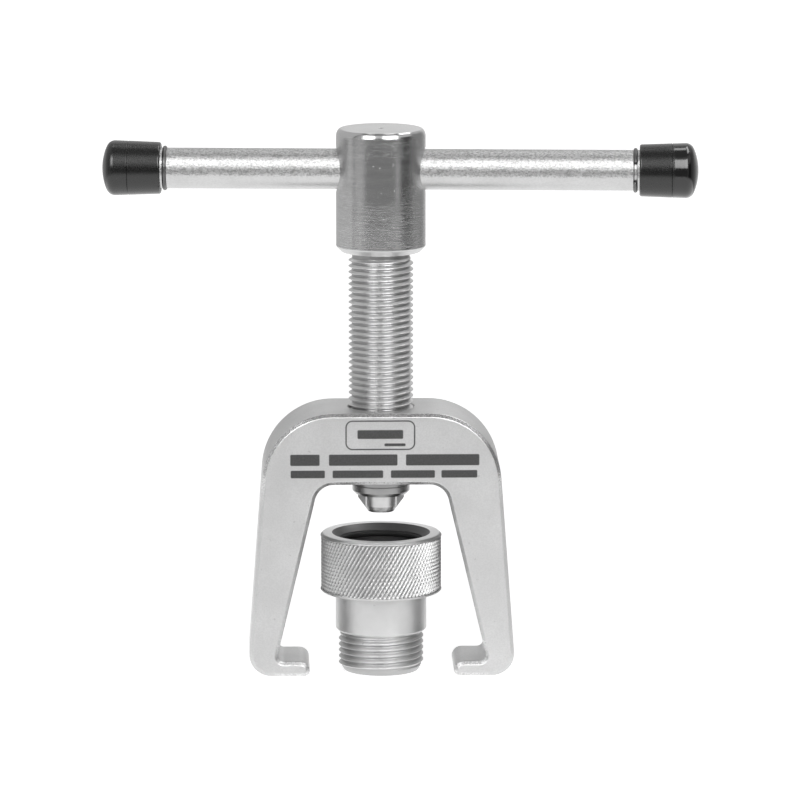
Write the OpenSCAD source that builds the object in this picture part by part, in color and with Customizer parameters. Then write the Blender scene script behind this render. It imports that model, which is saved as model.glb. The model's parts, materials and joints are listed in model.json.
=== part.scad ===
// Bicycle crank puller: a one-piece claw yoke with a press screw through its
// bridge, a sliding tommy bar with end caps, a swivel pressure nose, and the
// knurled, threaded adapter that stands between the claws.
// Millimetres. The screw axis is Z, the claws stand on Z = 0, the bar runs nearly along X.

/* [Yoke] */
// Height of the yoke from the feet to the top of the bridge
yoke_height = 66.2; // [62:0.1:80]
// Thickness of the bridge under the screw head
bridge_thickness = 17.9; // [12:0.1:22]
// Width over the shoulders, where the outer faces meet the top face
shoulder_width = 56.4; // [52:0.1:64]
// Width over the feet
foot_width = 66.3; // [62:0.1:80]
// Radius of the shoulders
shoulder_radius = 17.6; // [10:0.1:22]
// Width between the legs at the underside of the bridge
throat_top_width = 31.1; // [26:0.1:36]
// Width between the legs at the toes
throat_foot_width = 52.1; // [44:0.1:56]
// Radius of the inner corners under the bridge
throat_radius = 4.8; // [2:0.1:7]
// Gap between the tips of the two toes
toe_gap = 35.6; // [32:0.1:42]
// Thickness of the toes
toe_thickness = 3.7; // [3:0.1:6]
// Radius of the upper edge of the toe tips
toe_tip_radius = 2.4; // [1.2:0.1:2.6]
// Radius where a leg meets its toe
toe_root_radius = 1.6; // [1.2:0.1:3]
// Radius of the outer bottom corners
heel_radius = 5.5; // [2:0.1:8]
// Depth of the yoke at the top of the bridge
depth_top = 24; // [18:0.1:30]
// Depth of the yoke at the feet
depth_foot = 19.5; // [14:0.1:24]
// Bevel around the front and back faces
edge_bevel = 0.9; // [0.3:0.1:1]
// Bevel at both ends of the threaded hole
hole_bevel = 0.3; // [0.1:0.05:0.8]

/* [Press screw] */
// Outer diameter of the screw thread
screw_d = 16; // [12:0.5:18]
// Pitch of the screw thread
screw_pitch = 1.5; // [1:0.25:2.5]
// Length of the screw below its head
screw_length = 60.5; // [50:0.5:90]
// Depth of the thread, as a share of the pitch
thread_depth_ratio = 0.613; // [0.5:0.001:0.65]
// Width of the thread's crest, as a share of the pitch
crest_ratio = 0.125; // [0.1:0.005:0.2]
// Diameter of the turned end and of the relief under the head
turned_d = 14.2; // [10:0.1:16]
// Length of the turned end below the thread
turned_length = 5; // [4:0.1:8]
// Height of the fine turned line above the end's bevel
turned_line = 1.6; // [0.8:0.1:2.5]
// Width and depth of the fine turned line
turned_line_size = 0.25; // [0.1:0.05:0.5]
// Length of the relief under the head
relief_length = 1.2; // [0.5:0.1:4]
// Bevel on the screw's lower end
end_bevel = 0.9; // [0.2:0.1:1.5]
// Running clearance around the thread in the yoke
screw_clearance = 0.05; // [0.02:0.01:0.1]

/* [Screw head] */
// Diameter of the head
head_d = 22; // [19:0.5:28]
// Height of the head
head_height = 30.4; // [26:0.1:40]
// Height of the cross hole's axis above the underside of the head
hole_height = 20.3; // [16:0.1:21]
// Radius of the head's upper edge
head_radius = 1.2; // [0.4:0.1:2]
// Bevel of the head's lower edge
head_bevel = 1.35; // [0.3:0.05:2]
// Bevel at the mouths of the cross hole
mouth_bevel = 0.6; // [0.2:0.1:1]
// Diameter of the lathe centre in the top face
centre_d = 1.2; // [0.6:0.1:3]

/* [Tommy bar] */
// Diameter of the bar
bar_d = 10; // [8:0.5:12]
// Length of the steel bar
bar_length = 141.4; // [100:0.1:200]
// How far the middle of the bar lies from the screw axis
bar_offset = 4.7; // [-30:0.1:30]
// Angle of the bar from the X axis, seen from above
bar_turn = -3.5; // [-10:0.5:10]
// Running clearance around the bar in the cross hole
bar_clearance = 0.08; // [0.02:0.01:0.1]
// Bevel on the ends of the bar
bar_bevel = 0.8; // [0.2:0.1:1.5]

/* [Snap rings] */
// Diameter of the ring wire
ring_wire_d = 1; // [0.8:0.1:1.6]
// Opening of each ring, in degrees
ring_opening = 54; // [20:1:90]
// Clearance of a ring in its groove
ring_clearance = 0.04; // [0.02:0.01:0.1]
// Gap between a ring and the end cap beside it
ring_cap_gap = 0.5; // [0.2:0.05:1]

/* [End caps] */
// Length of a cap
cap_length = 14.4; // [10:0.1:20]
// Diameter of a cap at its mouth
cap_mouth_d = 12.7; // [12.5:0.1:16]
// Diameter of a cap at its outer shoulder
cap_end_d = 13.6; // [12.5:0.1:18]
// Height of the dome on a cap's end
cap_dome = 1.8; // [1.2:0.1:3]
// Radius between the side and the dome
cap_shoulder_radius = 2.2; // [0.5:0.1:2.6]
// Bevel at the mouth of a cap
cap_mouth_bevel = 0.4; // [0.1:0.1:0.8]
// Thickness of plastic between the bar and the top of the dome
cap_end_wall = 2.4; // [1.5:0.1:5]
// Distance of the moulding line from the cap's end
parting_distance = 6.4; // [5:0.1:8]
// Width and depth of the moulding line
parting_size = 0.2; // [0.1:0.05:0.4]
// Clearance between a cap and the bar
cap_clearance = 0.03; // [0.01:0.01:0.1]

/* [Pressure nose] */
// Diameter of the nose
nose_d = 11.4; // [10:0.1:13]
// Diameter of the nose's pressing end
nose_tip_d = 7.1; // [5:0.1:7.4]
// Height of the cone on the nose
nose_cone = 3.5; // [2:0.1:6]
// Height of the round part above the cone
nose_collar = 0.7; // [0.4:0.1:3]
// Diameter of the round core that stands out between the two milled flats
nose_core_d = 7.6; // [7.5:0.1:7.9]
// Height at which the core reaches its full diameter
nose_core_cone = 1.4; // [0.8:0.1:2]
// Distance across the two milled flats
nose_flats = 2.6; // [2:0.1:7]
// Radius of the edge around the pressing end
nose_edge = 0.4; // [0.1:0.1:0.8]
// Gap between the nose and the end of the screw
swivel_gap = 0.2; // [0.1:0.05:0.6]
// Diameter of the nose's shank in the screw
shank_d = 8; // [6:0.1:8.6]
// Length of the shank
shank_length = 9; // [7:0.5:14]
// Clearance around the shank
shank_clearance = 0.15; // [0.05:0.05:0.3]
// Diameter of the wire ring that holds the shank
keeper_wire_d = 0.9; // [0.6:0.1:1]
// Height of the wire ring above the end of the screw
keeper_height = 4; // [3:0.5:6]
// Diameter of the thrust ball above the shank
ball_d = 7.8; // [5:0.1:8]
// Clearance around the thrust ball
ball_clearance = 0.05; // [0.02:0.01:0.2]

/* [Adapter] */
// Height of the adapter
adapter_height = 34.5; // [28:0.1:45]
// Free height between the adapter and the nose
nose_gap = 5.4; // [2:0.1:15]
// Diameter of the adapter's head
adapter_head_d = 30; // [27:0.1:33]
// Height of the adapter's head
adapter_head_height = 14.6; // [9:0.1:17]
// Bevel of the head's upper edge
adapter_top_bevel = 0.6; // [0.3:0.1:1.6]
// Bevel of the head's lower edge
adapter_low_bevel = 0.4; // [0.2:0.1:1.5]
// Diameter of the plain neck
neck_d = 22.5; // [21.5:0.1:25]
// Outer diameter of the adapter's thread
adapter_thread_d = 21; // [19:0.1:21.2]
// Length of the adapter's thread
adapter_thread_length = 10; // [6:0.1:14]
// Bevel at the end of the thread
adapter_end_bevel = 1.2; // [0.3:0.1:1.5]
// Bevel between the neck and the thread
neck_bevel = 0.6; // [0.2:0.1:1.5]
// Diameter of the bore that goes through the adapter
adapter_bore_d = 17; // [16.8:0.1:17.4]
// Diameter of the wider bore at the adapter's mouth
mouth_bore_d = 20.8; // [18.5:0.1:21.5]
// Depth of the wider bore
mouth_bore_depth = 6; // [5:0.1:8]
// Diameter of the bevelled mouth
mouth_d = 24.3; // [22:0.1:26]
// Depth of the mouth's bevel
mouth_depth = 1.5; // [0.5:0.1:2]
// Diameter of the rubber ring's section
seal_section = 1.5; // [1.2:0.1:2.4]
// Distance of the rubber ring's middle from the adapter's top face
seal_depth = 2.4; // [2.3:0.1:3.5]
// How far the rubber ring stands into the bore
seal_stand = 0.6; // [0.4:0.1:1]
// Clearance of the rubber ring in its groove
seal_clearance = 0.05; // [0.02:0.01:0.2]

/* [Hidden] */
$fn = 96;
// A little extra, so that a cut passes the face that it opens
over = 1;
// Number of straight steps in a large corner, a shoulder and a small edge
corner_steps = 10;
shoulder_steps = 18;
edge_steps = 6;

// Heights, from the adapter up to the screw head
nose_bottom = adapter_height + nose_gap;
nose_top = nose_bottom + nose_cone + nose_collar;
screw_bottom = nose_top + swivel_gap;
head_bottom = screw_bottom + screw_length;
head_top = head_bottom + head_height;
bar_z = head_bottom + hole_height;
bridge_bottom = yoke_height - bridge_thickness;
shank_top = nose_top + shank_length;
ball_z = shank_top + ball_clearance + ball_d / 2;
keeper_z = screw_bottom + keeper_height;

// Press screw
thread_depth = thread_depth_ratio * screw_pitch;
thread_bottom = screw_bottom + turned_length;
thread_top = head_bottom - relief_length;
thread_turns = floor((thread_top - thread_bottom) / screw_pitch);
swivel_bore_d = shank_d + 2 * shank_clearance;
swivel_bore_top = ball_z + ball_d / 2 + ball_clearance;
drill_angle = 118;

// Wire rings: the middle of each wire lies on the surface that it is seated in
ring_radius = bar_d / 2;
cap_end_x = bar_length / 2 + cap_end_wall;
cap_mouth_x = cap_end_x - cap_length;
ring_x = cap_mouth_x - ring_cap_gap - ring_wire_d / 2;
keeper_radius = shank_d / 2;
keeper_room = shank_clearance + keeper_wire_d / 2;

// Adapter
adapter_head_bottom = adapter_height - adapter_head_height;
seal_radius = mouth_bore_d / 2 - seal_stand + seal_section / 2;
seal_z = adapter_height - seal_depth;

// The yoke's outline, counter-clockwise in X and Z: place of each corner, its
// radius, and the number of steps in its arc. The first six corners go round the
// outside, the last six come back along the inside, and each of them has as many
// steps as the outer corner that it faces.
yoke_corners = [
    [[toe_gap / 2, 0], edge_bevel + 0.1, edge_steps],
    [[foot_width / 2, 0], heel_radius, corner_steps],
    [[shoulder_width / 2, yoke_height], shoulder_radius, shoulder_steps],
    [[-shoulder_width / 2, yoke_height], shoulder_radius, shoulder_steps],
    [[-foot_width / 2, 0], heel_radius, corner_steps],
    [[-toe_gap / 2, 0], edge_bevel + 0.1, edge_steps],
    [[-toe_gap / 2, toe_thickness], toe_tip_radius, edge_steps],
    [[-throat_foot_width / 2, toe_thickness], toe_root_radius, corner_steps],
    [[-throat_top_width / 2, bridge_bottom], throat_radius, shoulder_steps],
    [[throat_top_width / 2, bridge_bottom], throat_radius, shoulder_steps],
    [[throat_foot_width / 2, toe_thickness], toe_root_radius, corner_steps],
    [[toe_gap / 2, toe_thickness], toe_tip_radius, edge_steps]
];

// Direction from point a to point b
function toward(a, b) = (b - a) / norm(b - a);

// Arc of radius r that rounds corner p between its neighbours a and b. The whole
// outline may be moved inwards by inset, which makes outer arcs smaller and
// inner arcs larger about the same centres.
function rounded(a, p, b, r, steps, inset) =
    let (u = toward(p, a),
         v = toward(p, b),
         half = acos(u * v) / 2,
         centre = p + (u + v) / norm(u + v) * r / sin(half),
         turn = sign(cross(-u, v)),
         from = p + u * r / tan(half) - centre,
         start = atan2(from[1], from[0]),
         sweep = turn * (180 - 2 * half))
    [for (k = [0:steps])
        centre + (r - turn * inset) * [cos(start + sweep * k / steps),
                                       sin(start + sweep * k / steps)]];

// Points of a closed outline with every corner rounded
function outline(corners, inset) =
    let (n = len(corners))
    [for (i = [0:n - 1])
        each rounded(corners[(i + n - 1) % n][0], corners[i][0], corners[(i + 1) % n][0],
                     corners[i][1], corners[i][2], inset)];

// Half the yoke's depth at height z: the front and back faces lean towards the feet
function half_depth(z) = (depth_foot + (depth_top - depth_foot) * z / yoke_height) / 2;

// One ring of the yoke's skin: side is -1 in front and 1 behind, back is how far
// the ring lies inside the face
function skin_ring(inset, side, back) =
    [for (p = outline(yoke_corners, inset)) [p[0], side * (half_depth(p[1]) - back), p[1]]];

// Solid between rings of n points each, front to back. Each end is closed by a
// strip across the bow, from outer point i to the inner point n - 1 - i that it faces.
module bow_loft(rings) {
    n = len(rings[0]);
    last = len(rings) - 1;
    polyhedron(
        points = [for (ring = rings) each ring],
        faces = concat(
            [for (i = [0:n / 2 - 2]) [i, n - 1 - i, n - 2 - i, i + 1]],
            [for (r = [0:last - 1]) for (i = [0:n - 1]) each
                let (j = (i + 1) % n)
                [[r * n + i, r * n + j, (r + 1) * n + j],
                 [r * n + i, (r + 1) * n + j, (r + 1) * n + i]]],
            [for (i = [0:n / 2 - 2])
                [last * n + i, last * n + i + 1, last * n + n - 2 - i, last * n + n - 1 - i]]));
}

// Bevelled hole edge: opens a hole of radius r by size at height z, upwards if up is 1
module hole_edge(r, size, z, up) {
    translate([0, 0, z])
        rotate_extrude()
            polygon([[0, -up * size], [r, -up * size], [r + size, 0],
                     [r + size, up * over], [0, up * over]]);
}

module yoke() {
    bore_r = screw_d / 2 + screw_clearance;
    color([0.78, 0.79, 0.80])
        difference() {
            bow_loft([skin_ring(edge_bevel, -1, 0),
                      skin_ring(0, -1, edge_bevel),
                      skin_ring(0, 1, edge_bevel),
                      skin_ring(edge_bevel, 1, 0)]);
            translate([0, 0, bridge_bottom - over])
                cylinder(r = bore_r, h = bridge_thickness + 2 * over);
            hole_edge(bore_r, hole_bevel, yoke_height, 1);
            hole_edge(bore_r, hole_bevel, bridge_bottom, -1);
        }
}

// Half section of a thread, from its lower end up: each turn is a crest, a
// flank, a root and a flank
function thread_section(r, depth, pitch, crest, z, turns) =
    let (flank = depth * tan(30))
    [for (i = [0:turns - 1]) each [
        [r, z + i * pitch],
        [r, z + i * pitch + crest],
        [r - depth, z + i * pitch + crest + flank],
        [r - depth, z + (i + 1) * pitch - flank]]];

// Quarter round from the side of a turned piece to its flat end
function turned_edge(r, z, radius) =
    [for (k = [0:edge_steps])
        [r - radius + radius * cos(90 * k / edge_steps),
         z - radius + radius * sin(90 * k / edge_steps)]];

module press_screw() {
    r = screw_d / 2;
    turned_r = turned_d / 2;
    head_r = head_d / 2;
    bore_r = swivel_bore_d / 2;
    cross_r = bar_d / 2 + bar_clearance;
    line_z = screw_bottom + end_bevel + turned_line;
    color([0.70, 0.70, 0.71])
        difference() {
            rotate_extrude()
                polygon(concat(
                    [[0, screw_bottom],
                     [turned_r - end_bevel, screw_bottom],
                     [turned_r, screw_bottom + end_bevel],
                     [turned_r, line_z - turned_line_size / 2],
                     [turned_r - turned_line_size, line_z],
                     [turned_r, line_z + turned_line_size / 2],
                     [turned_r, thread_bottom]],
                    thread_section(r, thread_depth, screw_pitch, crest_ratio * screw_pitch,
                                   thread_bottom, thread_turns),
                    [[turned_r, thread_bottom + thread_turns * screw_pitch],
                     [turned_r, head_bottom],
                     [head_r - head_bevel, head_bottom],
                     [head_r, head_bottom + head_bevel]],
                    turned_edge(head_r, head_top, head_radius),
                    [[centre_d / 2, head_top],
                     [0, head_top - centre_d / 2]]));
            // Blind hole for the nose's shank and the thrust ball, with its drill point
            rotate_extrude()
                polygon([[0, screw_bottom - over],
                         [bore_r, screw_bottom - over],
                         [bore_r, swivel_bore_top],
                         [0, swivel_bore_top + bore_r / tan(drill_angle / 2)]]);
            // Groove for the nose's wire ring
            translate([0, 0, keeper_z])
                rotate_extrude()
                    translate([keeper_radius, 0])
                        circle(r = keeper_room);
            // Cross hole for the bar
            translate([0, 0, bar_z])
                rotate([0, 90, bar_turn]) {
                    cylinder(r = cross_r, h = head_d + 2 * over, center = true);
                    for (side = [-1, 1])
                        translate([0, 0, side * head_r])
                            mirror([0, 0, side < 0 ? 1 : 0])
                                translate([0, 0, -mouth_bevel])
                                    cylinder(r1 = cross_r, r2 = cross_r + mouth_bevel + over,
                                             h = mouth_bevel + over);
                }
        }
}

// Lays a piece made along Z down along the bar, towards its long end if side is 1
module along_bar(side) {
    translate([0, 0, bar_z])
        rotate([0, 0, bar_turn])
            translate([bar_offset, 0, 0])
                rotate([0, side * 90, 0])
                    children();
}

module tommy_bar() {
    r = bar_d / 2;
    half = bar_length / 2;
    color([0.80, 0.80, 0.81])
        along_bar(1)
            difference() {
                rotate_extrude()
                    polygon([[0, -half], [r - bar_bevel, -half], [r, -half + bar_bevel],
                             [r, half - bar_bevel], [r - bar_bevel, half], [0, half]]);
                for (side = [-1, 1])
                    translate([0, 0, side * ring_x])
                        rotate_extrude()
                            translate([ring_radius, 0])
                                circle(r = ring_wire_d / 2 + ring_clearance);
            }
}

// Open wire ring around Z, with its gap centred on the direction opening_at
module wire_ring(radius, wire, opening, opening_at) {
    rotate([0, 0, opening_at + opening / 2])
        rotate_extrude(angle = 360 - opening)
            translate([radius, 0])
                circle(d = wire);
}

module snap_ring(side, opening_at) {
    color([0.10, 0.10, 0.11])
        along_bar(1)
            translate([0, 0, side * ring_x])
                wire_ring(ring_radius, ring_wire_d, ring_opening, opening_at);
}

// The left ring shows its closed side in front, the right ring its opening
module snap_ring_left() {
    snap_ring(-1, 90);
}

module snap_ring_right() {
    snap_ring(1, -90);
}

// Moulded cap: a tapered sleeve with a domed end and a fine moulding line
module end_cap(side) {
    mouth_r = cap_mouth_d / 2;
    end_r = cap_end_d / 2;
    bore_r = bar_d / 2 + cap_clearance;
    bore_end = bar_length / 2 + cap_clearance;
    shoulder_x = cap_end_x - cap_dome;
    line_x = cap_end_x - parting_distance;
    line_r = end_r - (end_r - mouth_r) * (shoulder_x - line_x) / (shoulder_x - cap_mouth_x);
    dome_r = (end_r * end_r + cap_dome * cap_dome) / (2 * cap_dome);
    dome_start = 3;
    dome_angle = asin(end_r / dome_r);
    dome = [for (k = [0:corner_steps])
        let (a = dome_angle * (1 - k / corner_steps))
        [dome_r * sin(a), cap_end_x - dome_r + dome_r * cos(a)]];
    shoulder = rounded([mouth_r, cap_mouth_x], [end_r, shoulder_x], dome[dome_start],
                       cap_shoulder_radius, edge_steps, 0);
    color([0.09, 0.09, 0.10])
        along_bar(side)
            rotate_extrude()
                polygon(concat(
                    [[bore_r, cap_mouth_x],
                     [mouth_r - cap_mouth_bevel, cap_mouth_x],
                     [mouth_r, cap_mouth_x + cap_mouth_bevel],
                     [line_r, line_x - parting_size],
                     [line_r - parting_size, line_x],
                     [line_r, line_x + parting_size]],
                    shoulder,
                    [for (k = [dome_start:corner_steps]) dome[k]],
                    [[0, bore_end],
                     [bore_r, bore_end]]));
}

module end_cap_left() {
    end_cap(-1);
}

module end_cap_right() {
    end_cap(1);
}

// A cone whose front and back are milled off, down to a round core
module pressure_nose() {
    r = nose_d / 2;
    tip_r = nose_tip_d / 2;
    core_r = nose_core_d / 2;
    shank_r = shank_d / 2;
    color([0.62, 0.62, 0.63])
        difference() {
            union() {
                rotate_extrude()
                    polygon([[0, nose_bottom],
                             [tip_r - nose_edge, nose_bottom],
                             [tip_r, nose_bottom + nose_edge],
                             [core_r, nose_bottom + nose_core_cone],
                             [core_r, nose_top],
                             [shank_r, nose_top],
                             [shank_r, shank_top],
                             [0, shank_top]]);
                difference() {
                    rotate_extrude()
                        polygon([[0, nose_bottom + nose_edge],
                                 [tip_r - 0.1, nose_bottom + nose_edge],
                                 [r, nose_bottom + nose_cone],
                                 [r, nose_top],
                                 [0, nose_top]]);
                    for (side = [-1, 1])
                        translate([-r - over, side > 0 ? nose_flats / 2 : -nose_flats / 2 - r,
                                   nose_bottom - over])
                            cube([2 * (r + over), r, nose_top - nose_bottom + 2 * over]);
                }
            }
            translate([0, 0, keeper_z])
                rotate_extrude()
                    translate([keeper_radius, 0])
                        circle(r = keeper_wire_d / 2 + ring_clearance);
        }
}

module nose_keeper_ring() {
    color([0.20, 0.20, 0.21])
        translate([0, 0, keeper_z])
            wire_ring(keeper_radius, keeper_wire_d, ring_opening, 90);
}

module thrust_ball() {
    color([0.75, 0.75, 0.77])
        translate([0, 0, ball_z])
            sphere(d = ball_d);
}

module adapter_body() {
    head_r = adapter_head_d / 2;
    neck_r = neck_d / 2;
    thread_r = adapter_thread_d / 2;
    mouth_r = mouth_d / 2;
    color([0.74, 0.74, 0.75])
        difference() {
            rotate_extrude()
                polygon([[adapter_bore_d / 2, 0],
                         [thread_r - adapter_end_bevel, 0],
                         [thread_r, adapter_end_bevel],
                         [thread_r, adapter_thread_length],
                         [neck_r - neck_bevel, adapter_thread_length],
                         [neck_r, adapter_thread_length + neck_bevel],
                         [neck_r, adapter_head_bottom],
                         [head_r - adapter_low_bevel, adapter_head_bottom],
                         [head_r, adapter_head_bottom + adapter_low_bevel],
                         [head_r, adapter_height - adapter_top_bevel],
                         [head_r - adapter_top_bevel, adapter_height],
                         [mouth_r, adapter_height],
                         [mouth_bore_d / 2, adapter_height - mouth_depth],
                         [mouth_bore_d / 2, adapter_height - mouth_bore_depth],
                         [adapter_bore_d / 2, adapter_height - mouth_bore_depth]]);
            translate([0, 0, seal_z])
                rotate_extrude()
                    translate([seal_radius, 0])
                        circle(d = seal_section + 2 * seal_clearance);
        }
}

module adapter_seal_ring() {
    color([0.06, 0.06, 0.06])
        translate([0, 0, seal_z])
            rotate_extrude()
                translate([seal_radius, 0])
                    circle(d = seal_section);
}

yoke();
press_screw();
tommy_bar();
snap_ring_left();
snap_ring_right();
end_cap_left();
end_cap_right();
pressure_nose();
nose_keeper_ring();
thrust_ball();
adapter_body();
adapter_seal_ring();
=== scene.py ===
# %% [markdown]
# # Bicycle crank puller
# A one-piece steel yoke stands on its two claws. A press screw runs down through
# its bridge, a sliding bar turns the screw, and a swivel nose at the screw's end
# pushes on the axle. A knurled and threaded adapter stands between the claws.
#
# Every visible surface is written as a formula on a grid of two parameters, so
# that each edge, thread and knurl is an adjustable number. Sizes in this lesson
# are in millimetres, as on a workshop drawing, and become metres when a mesh is
# made. The screw axis is Z and the camera looks roughly along +Y.

import json
import math

import bmesh
import bpy
import numpy as np
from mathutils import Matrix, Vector


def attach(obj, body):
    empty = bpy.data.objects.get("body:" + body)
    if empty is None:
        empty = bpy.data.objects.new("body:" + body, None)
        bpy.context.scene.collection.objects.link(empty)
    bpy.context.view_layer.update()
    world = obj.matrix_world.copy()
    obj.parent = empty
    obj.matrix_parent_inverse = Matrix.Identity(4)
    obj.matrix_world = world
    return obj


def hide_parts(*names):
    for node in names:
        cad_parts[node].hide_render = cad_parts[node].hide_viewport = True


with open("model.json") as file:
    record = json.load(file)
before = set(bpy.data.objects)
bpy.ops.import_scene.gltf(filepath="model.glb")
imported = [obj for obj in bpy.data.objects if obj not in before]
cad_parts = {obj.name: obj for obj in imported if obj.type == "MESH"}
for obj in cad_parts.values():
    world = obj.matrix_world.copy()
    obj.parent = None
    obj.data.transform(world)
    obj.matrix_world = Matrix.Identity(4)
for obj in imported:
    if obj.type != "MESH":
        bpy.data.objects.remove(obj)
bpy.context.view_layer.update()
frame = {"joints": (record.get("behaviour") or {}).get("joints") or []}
MM = 0.001
joints = {joint["name"]: joint for joint in frame["joints"]}


# %% [markdown]
# ## Main sizes
# Here stand the sizes that more than one step needs, because a finish has to know
# where the shape that it follows begins and ends. Heights are above the table, and
# what lies along the bar is counted from the bar's own middle.

# %% Main sizes
YOKE_HEIGHT = 66.2
DEPTH_TOP = 24.0
DEPTH_FOOT = 19.5

SCREW_BOTTOM = 44.3
SCREW_CORE = 7.08
HEAD_BOTTOM = SCREW_BOTTOM + 60.5
HEAD_TOP = HEAD_BOTTOM + 30.4

BAR_HEIGHT = 125.1
BAR_HALF = 70.7
BAR_OFFSET = 4.7
CAP_END = BAR_HALF + 2.4
PARTING = CAP_END - 6.4

NOSE_BOTTOM = 39.9
NOSE_CORE_R = 3.8
SHANK_TOP = 53.1
SHANK_R = 4.0
BALL_R = 3.9
BALL_Z = SHANK_TOP + 0.05 + BALL_R
KEEPER_Z = SCREW_BOTTOM + 4.0

ADAPTER_TOP = 34.5
ADAPTER_HEAD_LOW = 19.9
KNURL_R = 15.0
KNURL_LOW = ADAPTER_HEAD_LOW + 0.5
KNURL_HIGH = ADAPTER_TOP - 0.62
MOUTH_R = 12.15
ADAPTER_CORE = 9.72
ADAPTER_THREAD_LOW = 0.9
ADAPTER_THREAD_HIGH = 9.7

bar_along = Vector(joints["bar_slide"]["axis"]).normalized()
bar_angle = math.atan2(bar_along.y, bar_along.x)
print("the bar turns", round(math.degrees(bar_angle), 2), "degrees from X")


# %% [markdown]
# ## Drawing with rounded corners
# Every turned piece and the yoke's bow start as a drawing: a row of corners, each
# with a radius. A real machined edge is never perfectly sharp, and the thin light
# line along it is what tells the eye that it is metal. So the same function rounds
# the big shoulders of the bow and the 0.2 mm edges of a bevel.
#
# Just before and after each arc the drawing gets one more point. These hold the
# shading: the long straight part next to an arc stays flat instead of bending
# softly over its whole length.

# %% Corners to curves
def rounded_path(corners, closed=False, inset=0.0, hold=0.25):
    """Points along a drawing with rounded corners.

    corners holds rows of two coordinates, a radius and a number of steps. At a
    corner whose sides meet at the angle 2h, the arc of radius r starts r / tan(h)
    before the corner and its centre lies r / sin(h) along the bisector. A closed
    drawing may be moved inwards by inset, which takes inset from the radius of
    an outward corner and adds it to that of an inward one.
    """
    corners = np.asarray(corners, float)
    places = corners[:, :2]
    count = len(corners)
    before = places[np.arange(count) - 1]
    after = places[(np.arange(count) + 1) % count]
    u = before - places
    v = after - places
    long_u = np.linalg.norm(u, axis=1)
    long_v = np.linalg.norm(v, axis=1)
    u /= long_u[:, None]
    v /= long_v[:, None]
    half = np.arccos(np.clip((u * v).sum(axis=1), -1, 1)) / 2
    reach = corners[:, 2] / np.tan(half)
    if not closed:
        reach[0] = 0
        reach[-1] = 0
    points = []
    for i in range(count):
        if not closed and i in (0, count - 1):
            points.append(places[i])
            continue
        arc = places[i:i + 1]
        if corners[i, 2] > 0:
            bisector = (u[i] + v[i]) / np.linalg.norm(u[i] + v[i])
            centre = places[i] + bisector * corners[i, 2] / math.sin(half[i])
            turn = np.sign(v[i, 0] * u[i, 1] - v[i, 1] * u[i, 0])
            start = places[i] + u[i] * reach[i] - centre
            first = math.atan2(start[1], start[0])
            sweep = turn * (math.pi - 2 * half[i])
            angles = first + sweep * np.linspace(0, 1, int(corners[i, 3]) + 1)
            spokes = np.stack([np.cos(angles), np.sin(angles)], axis=1)
            arc = centre + (corners[i, 2] - turn * inset) * spokes
        free_u = long_u[i] - reach[i] - reach[i - 1]
        free_v = long_v[i] - reach[i] - reach[(i + 1) % count]
        points.append(arc[0] + u[i] * min(hold, 0.3 * free_u))
        points.extend(arc)
        points.append(arc[-1] + v[i] * min(hold, 0.3 * free_v))
    return np.array(points)


def ring_arc(centre, radius, start, end, steps):
    """Points of an arc about centre, from start to end degrees, steps steps."""
    angles = np.radians(np.linspace(start, end, steps + 1))
    return np.stack([centre[0] + radius * np.cos(angles),
                     centre[1] + radius * np.sin(angles)], axis=1)


# %% [markdown]
# ## From a grid of points to a piece
# A grid has rows and columns. A piece closes where its points meet: the first and
# last column of a turned piece lie on each other, and all points of a row at a
# pole are one. Merging these points gives a skin without seams. Edges sharper
# than a limit stay crisp, the rest is shaded round.

# %% Skin and solid helpers
SHARP = math.radians(34)
COLUMNS = 96
UPRIGHT = (np.zeros(3), *np.eye(3)[[2, 0, 1]])


def grid_faces(rows, columns):
    """Quads between the points of a grid that are stored row after row."""
    corner = np.arange(rows - 1)[:, None] * columns + np.arange(columns - 1)
    return np.stack([corner, corner + 1, corner + columns + 1, corner + columns],
                    axis=-1).reshape(-1, 4)


def close_skin(mesh):
    """Merges points that lie on each other and turns every face outwards."""
    skin = bmesh.new()
    skin.from_mesh(mesh)
    bmesh.ops.remove_doubles(skin, verts=skin.verts, dist=1e-7)
    bmesh.ops.dissolve_degenerate(skin, edges=skin.edges, dist=1e-8)
    bmesh.ops.recalc_face_normals(skin, faces=skin.faces)
    skin.to_mesh(mesh)
    skin.free()


def add_piece(name, points, faces=None):
    """An object from a grid of points in millimetres, or from points and faces."""
    points = np.asarray(points, float)
    if faces is None:
        faces = grid_faces(points.shape[0], points.shape[1])
    mesh = bpy.data.meshes.new(name)
    mesh.from_pydata((points.reshape(-1, 3) * MM).tolist(), [],
                     [list(face) for face in faces])
    close_skin(mesh)
    mesh.shade_smooth()
    mesh.set_sharp_from_angle(angle=SHARP)
    piece = bpy.data.objects.new(name, mesh)
    bpy.context.scene.collection.objects.link(piece)
    return piece


def combine(piece, others, operation="DIFFERENCE"):
    """Takes the others' volume out of the piece, or adds it, and removes the others."""
    for other in others:
        step = piece.modifiers.new("combine", "BOOLEAN")
        step.operation = operation
        step.solver = "EXACT"
        step.object = other
    graph = bpy.context.evaluated_depsgraph_get()
    mesh = bpy.data.meshes.new_from_object(piece.evaluated_get(graph))
    piece.modifiers.clear()
    piece.data = mesh
    mesh.materials.clear()
    mesh.shade_smooth()
    mesh.set_sharp_from_angle(angle=SHARP)
    for other in others:
        bpy.data.objects.remove(other, do_unlink=True)


def around(radius, angle, height, axis=UPRIGHT):
    """Points at a radius, an angle and a height of an axis.

    The axis is given as origin, along, side and up. A point lies at origin +
    height along + radius cos(angle) side + radius sin(angle) up.
    """
    origin, along, side, up = axis
    across = radius * np.cos(angle)
    upward = radius * np.sin(angle)
    height = np.broadcast_to(height, across.shape)
    return (origin + height[..., None] * along + across[..., None] * side
            + upward[..., None] * up)


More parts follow.
